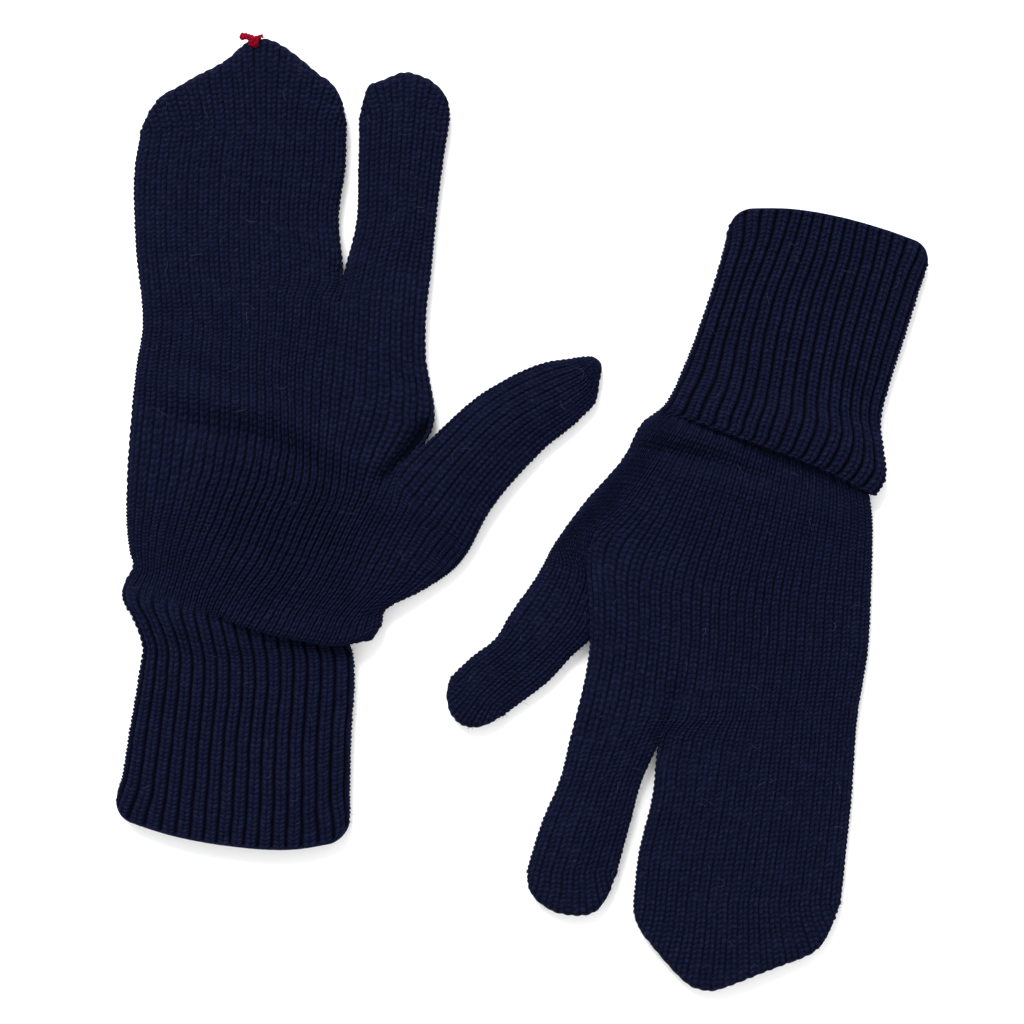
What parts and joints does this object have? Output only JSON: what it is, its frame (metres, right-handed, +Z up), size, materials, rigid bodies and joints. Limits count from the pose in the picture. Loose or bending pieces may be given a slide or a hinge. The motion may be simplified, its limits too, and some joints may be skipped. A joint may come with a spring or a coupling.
{
  "type": "three-compartment knitted mittens",
  "caption": "Pair of navy ribbed-cuff wool mittens with separate thumb and index stalls and one pouch for the other fingers, lying flat.",
  "frame": {"origin": "on the resting surface, under the centre of the pair's bounding box", "axes": "+Z up out of the surface, +Y along the right mitten from cuff to fingertips, +X from the right mitten to the left mitten"},
  "size_m": [0.2858, 0.338, 0.015],
  "materials": {
    "navy_knit": "fuzzy stockinette-knit wool",
    "navy_rib": "1x1 rib-knit wool",
    "red_yarn": "soft twisted wool yarn"
  },
  "bodies": {
    "right_hand": {"right_hand": "navy_knit", "right_wrist_roll": "navy_rib", "right_thumb_gusset": "navy_knit", "right_finger_fork": "navy_knit"},
    "right_cuff": {"right_cuff": "navy_rib", "right_cuff_edge": "navy_rib"},
    "right_thumb": {"right_thumb_stall": "navy_knit", "right_thumb_tip": "navy_knit"},
    "right_index": {"right_index_stall": "navy_knit", "right_index_tip": "navy_knit"},
    "right_mitt": {"right_mitt_pouch": "navy_knit", "right_mitt_tip": "navy_knit", "marker_knot": "red_yarn", "marker_end_left": "red_yarn", "marker_end_right": "red_yarn"},
    "left_hand": {"left_hand": "navy_knit", "left_wrist_roll": "navy_rib", "left_thumb_gusset": "navy_knit", "left_finger_fork": "navy_knit"},
    "left_cuff": {"left_cuff": "navy_rib", "left_cuff_edge": "navy_rib"},
    "left_thumb": {"left_thumb_stall": "navy_knit", "left_thumb_tip": "navy_knit"},
    "left_index": {"left_index_stall": "navy_knit", "left_index_tip": "navy_knit"},
    "left_mitt": {"left_mitt_pouch": "navy_knit", "left_mitt_tip": "navy_knit"}
  },
  "joints": [
    {"name": "right_cuff_fold", "type": "hinge", "parent": "right_hand", "child": "right_cuff", "pos_m": [-0.09771, -0.05015, 0.015], "axis": [-1, 0, 0], "range_deg": [0, 90]},
    {"name": "right_thumb_fold", "type": "hinge", "parent": "right_hand", "child": "right_thumb", "pos_m": [-0.01931, 0.01075, 0.012], "axis": [0.6046, -0.7965, 0], "range_deg": [0, 75]},
    {"name": "right_index_fold", "type": "hinge", "parent": "right_hand", "child": "right_index", "pos_m": [-0.04871, 0.08335, 0.012], "axis": [1, 0, 0], "range_deg": [0, 100]},
    {"name": "right_mitt_fold", "type": "hinge", "parent": "right_hand", "child": "right_mitt", "pos_m": [-0.09971, 0.08335, 0.012], "axis": [1, 0, 0], "range_deg": [0, 100]},
    {"name": "left_mitten_lift", "type": "slide", "parent": "right_hand", "child": "left_hand", "axis": [0, 0, 1], "range_m": [0, 0.15]},
    {"name": "left_cuff_fold", "type": "hinge", "parent": "left_hand", "child": "left_cuff", "pos_m": [0.09229, 0.03855, 0.015], "axis": [0.9712, -0.2384, 0], "range_deg": [0, 90]},
    {"name": "left_thumb_fold", "type": "hinge", "parent": "left_hand", "child": "left_thumb", "pos_m": [0.01164, -0.03425, 0.012], "axis": [-0.6811, 0.7322, 0], "range_deg": [0, 75]},
    {"name": "left_index_fold", "type": "hinge", "parent": "left_hand", "child": "left_index", "pos_m": [0.03229, -0.08065, 0.012], "axis": [-1, 0, 0], "range_deg": [0, 100]},
    {"name": "left_mitt_fold", "type": "hinge", "parent": "left_hand", "child": "left_mitt", "pos_m": [0.08329, -0.08065, 0.012], "axis": [-1, 0, 0], "range_deg": [0, 100]}
  ]
}
